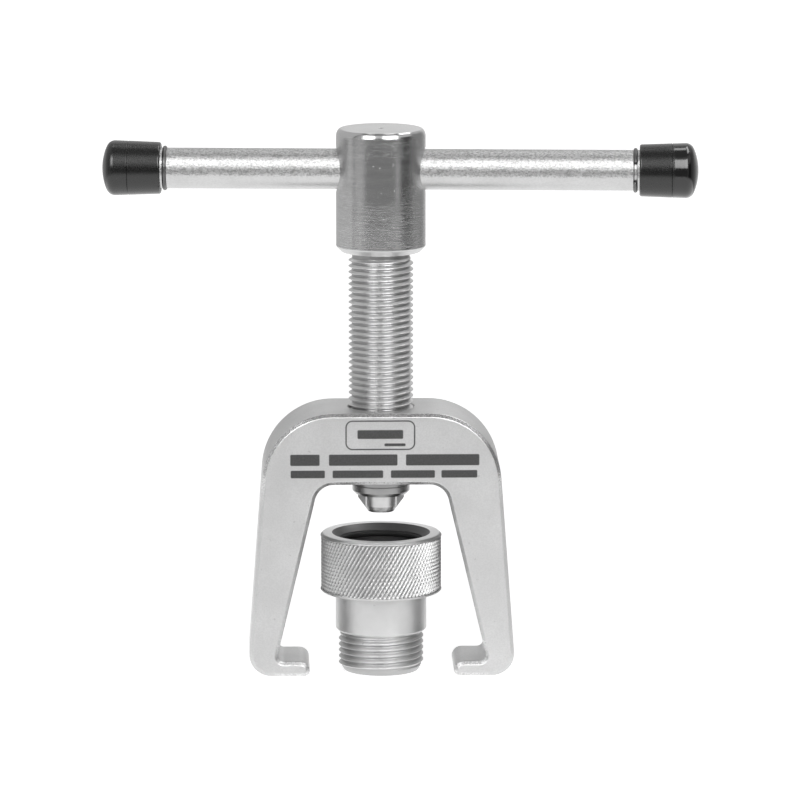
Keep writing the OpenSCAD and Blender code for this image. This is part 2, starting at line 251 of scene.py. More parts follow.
def turned(profile, columns=COLUMNS, axis=UPRIGHT):
    """Grid of a turned piece: each profile point (radius, height) goes once round."""
    profile = np.asarray(profile, float)
    angle = np.linspace(0, 2 * np.pi, columns + 1)
    return around(profile[:, :1], angle, profile[:, 1:], axis)


def hand_over(piece, node, body, slot):
    """The piece stands for a CAD node, moves with a body and gets its finish."""
    piece.data.materials.append(finishes[slot])
    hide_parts(node)
    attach(piece, body)
    piece.data.calc_loop_triangles()
    print(piece.name, len(piece.data.loop_triangles), "triangles")


# %% [markdown]
# ## Arithmetic for finishes
# A finish is a little formula: a colour plus some grain, a roughness that follows
# the turning marks. To write it like a formula, a socket of the shader is wrapped
# in a class whose plus, minus and times add the Math nodes.

# %% Shader sockets that calculate
def plug(value, links, socket):
    """Links a wire to a socket, or gives the socket a plain number or colour."""
    if isinstance(value, Wire):
        links.new(value.socket, socket)
    else:
        socket.default_value = value


class Wire:
    """One output socket. Calculating with it adds nodes to its material."""

    def __init__(self, nodes, links, socket):
        self.nodes = nodes
        self.links = links
        self.socket = socket

    def calculate(self, operation, *values):
        node = self.nodes.new("ShaderNodeMath")
        node.operation = operation
        for place, value in zip(node.inputs, values):
            plug(value, self.links, place)
        return Wire(self.nodes, self.links, node.outputs[0])

    def __add__(self, other):
        return self.calculate("ADD", self, other)

    def __radd__(self, other):
        return self.calculate("ADD", other, self)

    def __sub__(self, other):
        return self.calculate("SUBTRACT", self, other)

    def __rsub__(self, other):
        return self.calculate("SUBTRACT", other, self)

    def __mul__(self, other):
        return self.calculate("MULTIPLY", self, other)

    def __rmul__(self, other):
        return self.calculate("MULTIPLY", other, self)

    def __abs__(self):
        return self.calculate("ABSOLUTE", self)

    def lowest(self, other):
        return self.calculate("MINIMUM", self, other)

    def highest(self, other):
        return self.calculate("MAXIMUM", self, other)

    def power(self, other):
        return self.calculate("POWER", self, other)

    def angle_over(self, ahead):
        """The angle whose tangent is this over ahead, in degrees."""
        return self.calculate("ARCTAN2", self, ahead) * math.degrees(1)

    def steps_to(self, low, high):
        """0 at low, 1 at high and a smooth step between them."""
        node = self.nodes.new("ShaderNodeMapRange")
        node.interpolation_type = "SMOOTHSTEP"
        self.links.new(self.socket, node.inputs["Value"])
        node.inputs["From Min"].default_value = low
        node.inputs["From Max"].default_value = high
        return Wire(self.nodes, self.links, node.outputs["Result"])


class Finish:
    """A material made of nodes, with its surface shader ready to be set."""

    def __init__(self, name, tree=None):
        if tree is None:
            self.material = bpy.data.materials.new(name)
            self.material.use_nodes = True
            tree = self.material.node_tree
            self.surface = tree.nodes["Principled BSDF"]
        self.nodes = tree.nodes
        self.links = tree.links

    def node(self, kind, output, settings=None, **values):
        """Adds a node: settings first, then socket values or links by name."""
        node = self.nodes.new(kind)
        for key, value in (settings or {}).items():
            setattr(node, key, value)
        for key, value in values.items():
            plug(value, self.links, node.inputs[key.replace("_", " ")])
        return Wire(self.nodes, self.links, node.outputs[output])

    def place(self):
        """The point on the object, in metres from its origin."""
        return self.node("ShaderNodeTexCoord", "Object")

    def split(self, vector):
        """The three numbers of a vector."""
        parts = self.nodes.new("ShaderNodeSeparateXYZ")
        self.links.new(vector.socket, parts.inputs[0])
        return [Wire(self.nodes, self.links, out) for out in parts.outputs]

    def millimetres(self, place):
        """The three numbers of a place, in millimetres."""
        return [number * (1 / MM) for number in self.split(place)]

    def stretched(self, vector, scale, turn):
        """The vector turned about Z and then scaled along each axis."""
        turned_vector = self.node("ShaderNodeVectorRotate", "Vector",
                                  {"rotation_type": "Z_AXIS"},
                                  Vector=vector, Angle=turn)
        return self.scaled(turned_vector, scale)

    def scaled(self, vector, scale):
        """The vector with each of its numbers times one number of the scale."""
        node = self.nodes.new("ShaderNodeVectorMath")
        node.operation = "MULTIPLY"
        self.links.new(vector.socket, node.inputs[0])
        node.inputs[1].default_value = scale
        return Wire(self.nodes, self.links, node.outputs[0])

    def grain(self, vector, scale=1.0, detail=2.0, roughness=0.5):
        """Smooth random values from 0 to 1 with their middle at 0.5."""
        return self.node("ShaderNodeTexNoise", "Fac", None, Vector=vector,
                         Scale=scale, Detail=detail, Roughness=roughness)

    def blend(self, amount, first, second):
        """The first colour at 0, the second at 1. A plain number means a grey."""
        node = self.nodes.new("ShaderNodeMix")
        node.data_type = "RGBA"
        plug(amount, self.links, node.inputs[0])
        for key, colour in ((6, first), (7, second)):
            if not isinstance(colour, Wire):
                colour = grey(colour)
            plug(colour, self.links, node.inputs[key])
        return Wire(self.nodes, self.links, node.outputs[2])

    def dent(self, height, distance):
        """A bump: height is in units of distance, which is in metres."""
        return self.node("ShaderNodeBump", "Normal", None, Height=height,
                         Distance=distance, Strength=1.0)

    def set(self, **values):
        """Sets sockets of the surface shader: numbers, colours or wires."""
        for key, value in values.items():
            plug(value, self.links, self.surface.inputs[key.replace("_", " ")])


def grey(value):
    """A neutral colour of the given brightness."""
    return (value, value, value, 1.0)


# %% [markdown]
# ## Finish of the yoke
# The yoke is forged, ground and then plated: a satin, light grey skin. Close by it
# shows a fine grain, hairline scratches across the front and a few small pits from
# the forging. Its front carries a thin frame and a few printed bars. The print has
# no thickness here: it is a mask, which turns the steel into dull dark ink.
#
# Along the bevel of the bridge and of the toes a bright highlight is painted into
# the colour, broken by darker flecks.

# %% Plated yoke steel
PRINT_FRAME = (-0.4, 60.9, 8.4, 3.55)
PRINT_FRAME_CORNER = 1.6
PRINT_LINE = 0.32
PRINT_CORNER = 0.3
PRINT_EDGE = 0.09
PRINT_BARS = [
    (-0.4, 61.1, 5.6, 1.1),
    (3.2, 58.5, 2.6, 0.35),
    (-18.9, 54.7, 3.6, 1.4),
    (-4.6, 54.7, 8.4, 1.4),
    (14.9, 54.7, 9.0, 1.4),
    (-18.2, 51.15, 4.2, 0.95),
    (-5.9, 51.15, 6.2, 0.95),
    (7.6, 51.15, 5.4, 0.95),
    (19.0, 51.15, 4.4, 0.95),
]


def box_distance(x, z, centre_x, centre_z, half_x, half_z, corner):
    """How far a point is outside a rounded rectangle; below 0 inside it.

    With dx and dz the distances beyond the rectangle shrunk by its corner
    radius, this is the length of (dx, dz) with negatives set to 0, plus the
    larger of them where both are negative, minus the radius.
    """
    dx = abs(x - centre_x) - (half_x - corner)
    dz = abs(z - centre_z) - (half_z - corner)
    out_x = dx.highest(0.0)
    out_z = dz.highest(0.0)
    outside = (out_x * out_x + out_z * out_z).power(0.5)
    return outside + dx.highest(dz).lowest(0.0) - corner


def print_mask(x, y, z):
    """1 where ink lies on the yoke's front, 0 elsewhere."""
    from_line = abs(box_distance(x, z, *PRINT_FRAME, PRINT_FRAME_CORNER)) - PRINT_LINE / 2
    ink = 1 - from_line.steps_to(-PRINT_EDGE, PRINT_EDGE)
    for bar in PRINT_BARS:
        from_bar = box_distance(x, z, *bar, PRINT_CORNER)
        ink = ink.highest(1 - from_bar.steps_to(-PRINT_EDGE, PRINT_EDGE))
    return ink * (1 - y.steps_to(-9.4, -9.2))


def yoke_finish():
    finish = Finish("plated yoke steel")
    place = finish.place()
    x, y, z = finish.millimetres(place)
    fine = finish.grain(place, 2600, 3)
    cloud = finish.grain(place, 90, 3)
    hair = finish.grain(finish.scaled(place, (240, 2400, 2600)), 1.0, 3, 0.6)
    pits = finish.grain(place, 700, 1).steps_to(0.73, 0.78)
    flecks = finish.grain(place, 2000, 3, 0.7).steps_to(0.42, 0.6)

    behind_face = DEPTH_FOOT / 2 + (DEPTH_TOP - DEPTH_FOOT) / 2 / YOKE_HEIGHT * z - abs(y)
    bevel = behind_face.steps_to(0.04, 0.12) * (1 - behind_face.steps_to(0.8, 1.0))
    on_bridge = bevel * z.steps_to(40, 52)
    on_toes = bevel * (1 - z.steps_to(9, 10)) * (1 - abs(x).steps_to(25, 27))
    # painted highlight: the bevels of the bridge and toes are lighter, broken by dark flecks
    painted_bevel_highlight = on_bridge.highest(on_toes)

    steel = finish.blend(cloud.steps_to(0.3, 0.7), 0.62, 0.68)
    steel = finish.blend(fine.steps_to(0.35, 0.65) * 0.25, steel, 0.5)
    steel = finish.blend(pits * 0.3, steel, 0.35)
    steel = finish.blend(painted_bevel_highlight * 0.55, steel, 0.95)
    steel = finish.blend(painted_bevel_highlight * flecks * 0.45, steel, 0.3)
    ink = print_mask(x, y, z) * (0.86 + 0.1 * fine)
    finish.set(Base_Color=finish.blend(ink, steel, 0.055),
               Metallic=0.9 - 0.9 * ink,
               Roughness=0.4 + 0.1 * fine + 0.08 * ink - 0.2 * on_bridge,
               Normal=finish.dent(fine * 1.1 + cloud + pits * -1.5 + hair * 1.4, 0.012 * MM))
    return finish.material


# %% [markdown]
# ## Finish of turned steel
# A lathe leaves fine rings round the axis. Noise that is stretched round the axis
# and squeezed along it gives these rings, some deep and some faint. The middle of
# the head's front is polished, with a few bright glints painted into it as specks,
# and towards both ends the rings are rough. Shade is painted between the turns of
# the thread, where the steel is darker, and in the lathe centre on top of the head.

# %% Turned screw steel
def screw_finish():
    finish = Finish("turned screw steel")
    place = finish.place()
    x, y, z = finish.millimetres(place)
    reach = (x * x + y * y).power(0.5)
    rings = finish.grain(finish.scaled(place, (120, 120, 4000)), 1.0, 4, 0.8)
    broad = finish.grain(finish.scaled(place, (90, 90, 700)), 1.0, 2)
    fine = finish.grain(place, 3300, 2)
    blotch = finish.grain(place, 420, 2)

    on_head = z.steps_to(HEAD_BOTTOM - 0.2, HEAD_BOTTOM + 0.4)
    on_thread = 1 - on_head
    on_top = z.steps_to(HEAD_TOP - 0.08, HEAD_TOP - 0.04)
    top_edge = z.steps_to(HEAD_TOP - 1.6, HEAD_TOP - 1.0) * (1 - on_top)
    lower_bevel = on_head * (1 - z.steps_to(HEAD_BOTTOM + 1.2, HEAD_BOTTOM + 1.8))
    # painted shade: the lathe centre on top of the head is dark
    painted_centre_shade = (1 - reach.steps_to(0.5, 0.62)) * z.steps_to(HEAD_TOP - 1.2, HEAD_TOP - 1.0)
    # painted shade: the steel between the turns of the thread is darker
    painted_root_shade = on_thread * (1 - reach.steps_to(SCREW_CORE + 0.02, SCREW_CORE + 0.27))

    around_bar = z.steps_to(BAR_HEIGHT - 8.7, BAR_HEIGHT - 5.7)
    around_bar = around_bar * (1 - z.steps_to(BAR_HEIGHT + 2.5, BAR_HEIGHT + 5.3))
    middle = 1 - abs(x - 0.1).steps_to(0.5, 9)
    polished = around_bar * (middle + (blotch - 0.5) * 0.3)
    polished = polished.steps_to(0.0, 1.0) * on_head
    rough = on_head * (1 - polished) * (1 - on_top)
    # painted highlight: a few bright glints as specks in the polished middle
    painted_glint_specks = finish.grain(place, 2300, 1).steps_to(0.72, 0.8) * polished

    steel = finish.blend(broad.steps_to(0.3, 0.7), 0.66, 0.72)
    steel = finish.blend(rough * 0.45, steel, 0.45)
    steel = finish.blend(rough * rings.steps_to(0.56, 0.66) * 0.25, steel, 0.9)
    steel = finish.blend(painted_glint_specks * 0.6, steel, 0.98)
    steel = finish.blend(painted_root_shade * 0.6, steel, 0.16)
    steel = finish.blend(on_thread * 0.1, steel, 0.4)
    steel = finish.blend(painted_centre_shade, steel, 0.12)
    rough = rough * (1 - top_edge)
    bumps = ((rings - 0.5) * (0.05 + 0.7 * rough) + fine * 0.04
             + (fine - 0.5) * 0.35 * rough + 0.3 * painted_glint_specks)
    dullness = 0.02 * rough - 0.06 * top_edge + 0.18 * lower_bevel + 0.13 * on_thread
    finish.set(Base_Color=steel,
               Metallic=1.0,
               Roughness=0.2 + dullness,
               Normal=finish.dent(bumps, 0.05 * MM))
    return finish.material


# %% [markdown]
# ## Finish of the bar
# The bar is drawn steel with a bright plating. Its skin has the slight grain of
# the drawing die, a little longer along the bar than across it. The grain breaks
# the edge of a reflection into small sparks; the lower side is smoother. Dark
# specks are painted into the colour as sparkle, mostly on the upper side.

# %% Plated bar steel
def bar_finish():
    finish = Finish("plated bar steel")
    place = finish.place()
    x, y, z = finish.millimetres(place)
    grainy = finish.grain(finish.stretched(place, (2300, 3600, 3600), -bar_angle), 1.0, 2, 0.6)
    painted_sparkle_speck = finish.grain(finish.stretched(place, (1700, 2500, 2500), -bar_angle), 1.0, 3, 0.75)
    cloud = finish.grain(place, 120, 2)
    upper = z.steps_to(BAR_HEIGHT - 1.5, BAR_HEIGHT - 0.9)
    steel = finish.blend(cloud.steps_to(0.3, 0.7), 0.57, 0.61)
    # painted sparkle: dark specks, mostly on the upper side where the reflection lies
    steel = finish.blend(painted_sparkle_speck.steps_to(0.44, 0.6) * (0.1 + 0.5 * upper), steel, 0.2)
    finish.set(Base_Color=steel,
               Metallic=1.0,
               Roughness=0.34 + 0.1 * grainy,
               Normal=finish.dent(grainy * (0.2 + 0.8 * upper), 0.08 * MM))
    return finish.material


# %% [markdown]
# ## Finishes of the adapter, the nose and the black parts
# The adapter is turned and knurled and then plated, so its steel is lighter and
# duller than the screw's. Shade is painted into the valleys of knurl and thread
# and into the bore below the mouth, and a highlight onto its flat top rim. The
# nose is hardened and brushed; shade is painted on its two side wings and as a
# darker band at its tip. Wire rings are blackened spring steel and the seal is
# dull rubber. The caps are moulded plastic with a half gloss. Beyond its parting
# line the right one is glossier, and its skin tilts a little.

# %% Smaller finishes
def adapter_finish():
    finish = Finish("knurled adapter steel")
    place = finish.place()
    x, y, z = finish.millimetres(place)
    reach = (x * x + y * y).power(0.5)
    rings = finish.grain(finish.scaled(place, (80, 80, 3800)), 1.0, 3, 0.6)
    fine = finish.grain(place, 2600, 2)
    cloud = finish.grain(place, 150, 3)
    spots = finish.grain(place, 520, 1).steps_to(0.74, 0.8)

    # painted highlight: the flat top rim, which faces up, is lighter
    painted_rim_highlight = z.steps_to(ADAPTER_TOP - 0.2, ADAPTER_TOP - 0.05)
    # painted shade: the mouth's bevel and the bore inside it are nearly black
    inside = 1 - reach.steps_to(MOUTH_R - 0.05, MOUTH_R + 0.05)
    inside = inside * z.steps_to(ADAPTER_TOP - 7.0, ADAPTER_TOP - 6.9)
    # painted shade in the roots of the thread
    painted_root_shade = 1 - reach.steps_to(ADAPTER_CORE + 0.03, ADAPTER_CORE + 0.53)
    painted_root_shade = painted_root_shade * (1 - z.steps_to(ADAPTER_THREAD_HIGH - 0.1, ADAPTER_THREAD_HIGH + 0.2))
    knurled = z.steps_to(KNURL_LOW - 0.2, KNURL_LOW + 0.2)
    knurled = knurled * (1 - z.steps_to(KNURL_HIGH - 0.08, KNURL_HIGH + 0.12))
    # painted shade in the valleys of the knurl
    painted_valley_shade = knurled * (1 - reach.steps_to(KNURL_R - 0.55, KNURL_R - 0.1))
    painted_valley_shade = painted_valley_shade * reach.steps_to(KNURL_R - 1.5, KNURL_R - 1.4)

    steel = finish.blend(cloud.steps_to(0.3, 0.7), 0.6, 0.66)
    steel = finish.blend(spots * 0.4, steel, 0.3)
    steel = finish.blend(painted_rim_highlight * 0.8, steel, 0.95)
    steel = finish.blend(painted_root_shade * 0.35, steel, 0.14)
    steel = finish.blend(painted_valley_shade * 0.35, steel, 0.16)
    steel = finish.blend(inside * 0.88, steel, 0.06)
    finish.set(Base_Color=steel,
               Metallic=1.0,
               Roughness=0.42 + 0.08 * fine + 0.04 * knurled,
               Normal=finish.dent(rings * 0.5 + fine * 0.4, 0.01 * MM))
    return finish.material


def nose_finish():
    finish = Finish("hardened nose steel")
    place = finish.place()
    x, y, z = finish.millimetres(place)
    rings = finish.grain(finish.scaled(place, (120, 120, 5000)), 1.0, 3, 0.6)
    cloud = finish.grain(place, 300, 3)
    # painted shade: the two side wings and a band at the tip are darker
    wing_shade = abs(x).steps_to(NOSE_CORE_R - 0.05, NOSE_CORE_R + 0.15)
    tip_shade = 1 - z.steps_to(NOSE_BOTTOM + 1.3, NOSE_BOTTOM + 1.5)
    steel = finish.blend(cloud.steps_to(0.3, 0.7), 0.62, 0.72)
    steel = finish.blend(wing_shade * 0.75 + tip_shade * 0.3, steel, 0.16)
    finish.set(Base_Color=steel,
               Metallic=1.0,
               Roughness=0.28 + 0.08 * cloud + 0.15 * wing_shade,
               Normal=finish.dent(rings, 0.01 * MM))
    return finish.material


def dark_finish(name, tone, roughness, metallic, scale, depth):
    """A black skin whose grain of the given scale is depth millimetres deep."""
    finish = Finish(name)
    place = finish.place()
    fine = finish.grain(place, scale, 3)
    cloud = finish.grain(place, 200, 2)
    finish.set(Base_Color=finish.blend(cloud.steps_to(0.3, 0.7), tone, tone * 1.5),
               Metallic=metallic,
               Roughness=roughness + 0.1 * fine,
               Normal=finish.dent(fine, depth * MM))
    return finish.material


CAP_SLANT = 0.14
CAP_SLANT_FROM = BAR_OFFSET + PARTING


def cap_finish():
    finish = Finish("black cap plastic")
    place = finish.place()
    x, y, z = finish.millimetres(place)
    fine = finish.grain(place, 1500, 3)
    beyond = (x - CAP_SLANT_FROM).highest(0.0)
    glossy = beyond.steps_to(0.0, 0.3)
    finish.set(Base_Color=grey(0.007),
               Metallic=0.0,
               IOR=1.62,
               Roughness=0.22 + 0.1 * fine - 0.14 * glossy,
               Normal=finish.dent(fine * 0.012 - beyond * CAP_SLANT, MM))
    return finish.material


finishes = {
    "plated_yoke_steel": yoke_finish(),
    "turned_screw_steel": screw_finish(),
    "plated_bar_steel": bar_finish(),
    "knurled_adapter_steel": adapter_finish(),
    "hardened_nose_steel": nose_finish(),
    "black_spring_steel": dark_finish("black spring steel", 0.12, 0.34, 0.8, 2000, 0.01),
    "black_cap_plastic": cap_finish(),
    "seal_rubber": dark_finish("seal rubber", 0.008, 0.55, 0.0, 2500, 0.02),
}
print("finishes", sorted(finishes))


# %% [markdown]
# ## The yoke
# The bow is one bar of forged steel, bent like a bracket: a bridge, two legs that
# lean outwards and become deeper towards the bridge, and a toe at each foot that
# hooks behind the crank. Its skin is a stack of outlines from the front to the
# back. The first and last few are drawn in a little, which makes the bevel, and
# the corners of the bevel are rounded as by a file.

# %% Yoke outline and bow
BRIDGE_BOTTOM = 48.3
BEVEL = 0.9
BEVEL_ROUND = 0.4
BEVEL_INNER = 1.25

outer_half = [
    (17.8, 0.0, 1.35, 6),
    (33.15, 0.0, 5.5, 10),
    (28.2, YOKE_HEIGHT, 17.6, 24),
]
inner_half = [
    (17.8, 3.7, 2.4, 6),
    (26.05, 3.7, 1.6, 10),
    (15.55, BRIDGE_BOTTOM, 4.8, 24),
]


def mirrored(corners):
    """The same corners on the other side of the screw, in reverse order."""
    return [(-x, z, radius, steps) for x, z, radius, steps in reversed(corners)]


bow_corners = outer_half + mirrored(outer_half) + [
    (-x, z, radius, steps) for x, z, radius, steps in inner_half
] + inner_half[::-1]

# How far in and how far back each outline of the front edge lies
edge_drawing = rounded_path([(BEVEL_INNER, 0, 0, 0),
                             (BEVEL, 0, BEVEL_ROUND, 4),
                             (0, BEVEL, BEVEL_ROUND, 4),
                             (0, 2.4, 0, 0)], hold=0.1)


def bow_ring(inset, back, side):
    """One outline of the bow, side -1 in front and 1 behind.

    Its points (x, z) lie at the depth side (d(z) / 2 - back), where the depth
    d(z) grows evenly from the feet to the top.
    """
    drawing = rounded_path(bow_corners, closed=True, inset=inset)
    half = (DEPTH_FOOT + (DEPTH_TOP - DEPTH_FOOT) * drawing[:, 1] / YOKE_HEIGHT) / 2
    return np.stack([drawing[:, 0], side * (half - back), drawing[:, 1]], axis=1)


rings = [bow_ring(inset, back, -1) for inset, back in edge_drawing]
rings += [bow_ring(inset, back, 1) for inset, back in edge_drawing[::-1]]
rings = np.array(rings)
ring_size = rings.shape[1]
wrapped = np.concatenate([rings, rings[:, :1]], axis=1)
bow_faces = grid_faces(*wrapped.shape[:2]).tolist()
outward = np.arange(ring_size // 2 - 1)
cap = np.stack([outward, ring_size - 1 - outward, ring_size - 2 - outward, outward + 1],
               axis=1)
for row in (0, len(rings) - 1):
    bow_faces += (cap + row * wrapped.shape[1]).tolist()
yoke = add_piece("yoke_finished", wrapped, bow_faces)

BORE = 8.05
bore_profile = [(0, BRIDGE_BOTTOM - 3), (BORE + 3.3, BRIDGE_BOTTOM - 3),
                (BORE, BRIDGE_BOTTOM + 0.3), (BORE, YOKE_HEIGHT - 0.3),
                (BORE + 3.3, YOKE_HEIGHT + 3), (0, YOKE_HEIGHT + 3)]
combine(yoke, [add_piece("bore", turned(bore_profile))])
hand_over(yoke, "yoke", "yoke", "plated_yoke_steel")


# %% [markdown]
# ## Threads
# A thread is a helix. On the grid, each row climbs by one pitch while it goes once
# round, so the crest stays on one row and is sharp with few points. At both ends
# of the thread the rows are cut off at a flat height, and the thread fades out
# there as it does where a die starts and stops.

# %% Thread helper
PITCH = 1.5
THREAD_SHAPE = np.array([
    (0.0000, 0.94), (0.0625, 1.00), (0.1250, 0.94), (0.1800, 0.80),
    (0.2900, 0.50), (0.4000, 0.19), (0.4600, 0.05), (0.5550, 0.00),
    (0.6500, 0.05), (0.7100, 0.19), (0.8250, 0.50), (0.9400, 0.80),
])


def thread_grid(low, high, core, crest, columns, fade=0.7, shape=THREAD_SHAPE):
    """Rows of a right-hand thread from height low to high.

    The point at angle a on the row of phase p and turn k has the height
    low + PITCH (k + p + a / 2 pi), clipped to low and high, and the radius
    core + (crest - core) h(p) f, where h is the thread's shape and f falls to 0
    over the last fade pitches at both ends.
    """
    turns = np.arange(-1, math.ceil((high - low) / PITCH) + 1)
    phase = (turns[:, None] + shape[:, 0]).ravel()
    tall = np.tile(shape[:, 1], len(turns))
    angle = np.linspace(0, 2 * np.pi, columns + 1)
    height = low + PITCH * (phase[:, None] + angle / (2 * np.pi))
    height = np.clip(height, low, high)
    inside = np.minimum(height - low, high - height) / (fade * PITCH)
    share = np.clip(inside, 0, 1)
    radius = core + (crest - core) * tall[:, None] * share * share * (3 - 2 * share)
    return around(radius, angle, height)


def stacked(*grids):
    """One grid from several that have the same number of columns."""
    return np.concatenate(grids, axis=0)


# %% [markdown]
# ## The press screw
# Head and screw are turned from one bar. The profile starts on the axis inside
# the blind hole that takes the nose's shank, comes out round the turned end, goes
# up the thread and the relief, and ends in the lathe centre on top of the head.
# The cross hole is cut last, as on the real piece.

# %% Screw and head
THREAD_LOW = SCREW_BOTTOM + 5.0
THREAD_HIGH = HEAD_BOTTOM - 1.2
SCREW_CREST = 8.0
SCREW_END_R = 7.1
HEAD_R = 11.0
EDGE_WIDE = 1.2
EDGE_TALL = 1.9
BLIND_R = 4.15
BLIND_TOP = BALL_Z + BALL_R + 0.05
DRILL_HALF_ANGLE = math.radians(59)
KEEPER_GROOVE = 0.6

blind_hole = np.concatenate([
    [(0, BLIND_TOP + BLIND_R / math.tan(DRILL_HALF_ANGLE))],
    [(BLIND_R, BLIND_TOP)],
    ring_arc((SHANK_R, KEEPER_Z), KEEPER_GROOVE, 75, -75, 10),
    [(BLIND_R, SCREW_BOTTOM)],
])
turned_end = rounded_path([(BLIND_R, SCREW_BOTTOM, 0, 0),
                           (6.2, SCREW_BOTTOM, 0.15, 3),
                           (SCREW_END_R, SCREW_BOTTOM + 0.9, 0.2, 3),
                           (SCREW_END_R, SCREW_BOTTOM + 2.38, 0.05, 2),
                           (SCREW_END_R - 0.25, SCREW_BOTTOM + 2.5, 0.06, 3),
                           (SCREW_END_R, SCREW_BOTTOM + 2.62, 0.05, 2),
                           (SCREW_CORE, THREAD_LOW, 0, 0)], hold=0.1)
head_drawing = rounded_path([(SCREW_CORE, THREAD_HIGH, 0, 0),
                             (SCREW_END_R, HEAD_BOTTOM, 0.2, 3),
                             (HEAD_R - 1.35, HEAD_BOTTOM, 0.25, 3),
                             (HEAD_R, HEAD_BOTTOM + 1.35, 0.5, 4),
                             (HEAD_R, HEAD_TOP - EDGE_TALL, 0, 0)], hold=0.12)
head_edge = ring_arc((0, 0), 1.0, 0, 90, 14) * (EDGE_WIDE, EDGE_TALL)
head_edge += (HEAD_R - EDGE_WIDE, HEAD_TOP - EDGE_TALL)
head_face = rounded_path([(HEAD_R - EDGE_WIDE, HEAD_TOP, 0, 0), (0.62, HEAD_TOP, 0.05, 2),
                          (0.0, HEAD_TOP - 0.6, 0, 0)], hold=0.12)
screw_grid = stacked(
    turned(blind_hole),
    turned(turned_end),
    thread_grid(THREAD_LOW, THREAD_HIGH, SCREW_CORE, SCREW_CREST, COLUMNS),
    turned(head_drawing[:-1]),
    turned(head_edge),
    turned(head_face[1:]),
)
screw = add_piece("press_screw_finished", screw_grid)

along = np.array(bar_along)
up = UPRIGHT[1]
side = np.cross(up, along)
bar_axis = (BAR_HEIGHT * up, along, side, up)
CROSS_R = 5.08
CROSS_END = 14.0
half_hole = rounded_path([(0, CROSS_END, 0, 0), (CROSS_R + 3.6, CROSS_END, 0, 0),
                          (CROSS_R, CROSS_END - 3.6, 0.4, 4), (CROSS_R, 0, 0, 0)], hold=0.1)
mouth = np.concatenate([half_hole, half_hole[::-1][1:] * (1, -1)])
combine(screw, [add_piece("cross_hole", turned(mouth, axis=bar_axis))])
hand_over(screw, "press_screw", "screw", "turned_screw_steel")


# %% [markdown]
# ## The bar, its snap rings and caps
# The bar is a plain rod with a bevel at each end and a round groove for each wire
# ring. The rings stop the bar at the head, so that the caps take no load.
# Each cap is a moulded sleeve, a little wider towards its domed end, with the fine
# line where the two halves of the mould met.

# %% Bar
BAR_R = 5.0
CAP_MOUTH = CAP_END - 14.4
RING_WIRE = 0.5
RING_GAP = 54
RING_AT = CAP_MOUTH - 0.5 - RING_WIRE
bar_middle = (BAR_HEIGHT * up + BAR_OFFSET * along, along, side, up)

half_bar = np.concatenate([
    ring_arc((BAR_R, RING_AT), RING_WIRE + 0.04, 180 + 87, 180 - 87, 12),
    rounded_path([(BAR_R, RING_AT + 0.7, 0, 0), (BAR_R, BAR_HALF - 0.8, 0.2, 3),
                  (BAR_R - 0.8, BAR_HALF, 0.2, 3), (0, BAR_HALF, 0, 0)], hold=0.1),
])
half_bar = np.concatenate([[(BAR_R, 0)], [(BAR_R, RING_AT - 1)], half_bar])
bar_profile = np.concatenate([half_bar[::-1] * (1, -1), half_bar[1:]])
bar = add_piece("tommy_bar_finished", turned(bar_profile, axis=bar_middle))
hand_over(bar, "tommy_bar", "bar", "plated_bar_steel")


# %% [markdown]
# A wire ring is a piece of round wire, bent to an open circle. Its skin is a small
# circle carried along a larger one. At both ends the small circle shrinks over a
# quarter round, which gives the wire its rounded ends.

# %% Snap rings
def wire_ring_grid(radius, wire, gap, gap_at, axis, steps=64, sides=16):
    """Grid of an open wire ring with rounded ends.

    The wire's middle goes round at radius, from gap / 2 past the direction
    gap_at to gap / 2 before it. Over each last wire radius of its length, the
    section's radius shrinks as the side of a quarter circle.
    """
    span = radius * math.radians(360 - gap)
    cap_turn = np.radians(np.linspace(0, 90, 7))
    ends = wire * (1 - np.cos(cap_turn))
    length = np.concatenate([ends, np.linspace(wire, span - wire, steps)[1:-1],
                             span - ends[::-1]])
    size = np.concatenate([wire * np.sin(cap_turn), np.full(steps - 2, wire),
                           wire * np.sin(cap_turn[::-1])])
    angle = math.radians(gap_at + gap / 2) + length / radius
    turn = np.linspace(0, 2 * np.pi, sides + 1)
    reach = radius + size[:, None] * np.cos(turn)
    height = size[:, None] * np.sin(turn)
    return around(reach, angle[:, None], height, axis)


for name, sign, gap_at in (("left", -1, 0), ("right", 1, 180)):
    centre = bar_middle[0] + sign * RING_AT * along
    grid = wire_ring_grid(BAR_R, RING_WIRE, RING_GAP, gap_at, (centre, along, side, up))
    ring = add_piece("snap_ring_" + name + "_finished", grid)
    hand_over(ring, "snap_ring_" + name, "bar", "black_spring_steel")


# %% Caps
CAP_MOUTH_R = 6.35
CAP_END_R = 6.8
CAP_DOME = 1.8
CAP_BORE = 5.03
LINE_DEPTH = 0.12

shoulder_at = CAP_END - CAP_DOME
dome_r = (CAP_END_R ** 2 + CAP_DOME ** 2) / (2 * CAP_DOME)
dome_angle = math.degrees(math.asin(CAP_END_R / dome_r))
dome = ring_arc((0, CAP_END - dome_r), dome_r, 90 - dome_angle, 90, 14)
slope = (CAP_END_R - CAP_MOUTH_R) / (shoulder_at - CAP_MOUTH)
line_r = CAP_MOUTH_R + slope * (PARTING - CAP_MOUTH)
cap_side = rounded_path([(CAP_BORE, CAP_MOUTH, 0, 0),
                         (CAP_MOUTH_R, CAP_MOUTH, 0.5, 5),
                         (line_r, PARTING - LINE_DEPTH, 0.05, 2),
                         (line_r - LINE_DEPTH, PARTING, 0.03, 2),
                         (line_r, PARTING + LINE_DEPTH, 0.05, 2),
                         (CAP_END_R, shoulder_at, 2.2, 12),
                         (dome[4, 0], dome[4, 1], 0, 0)], hold=0.12)
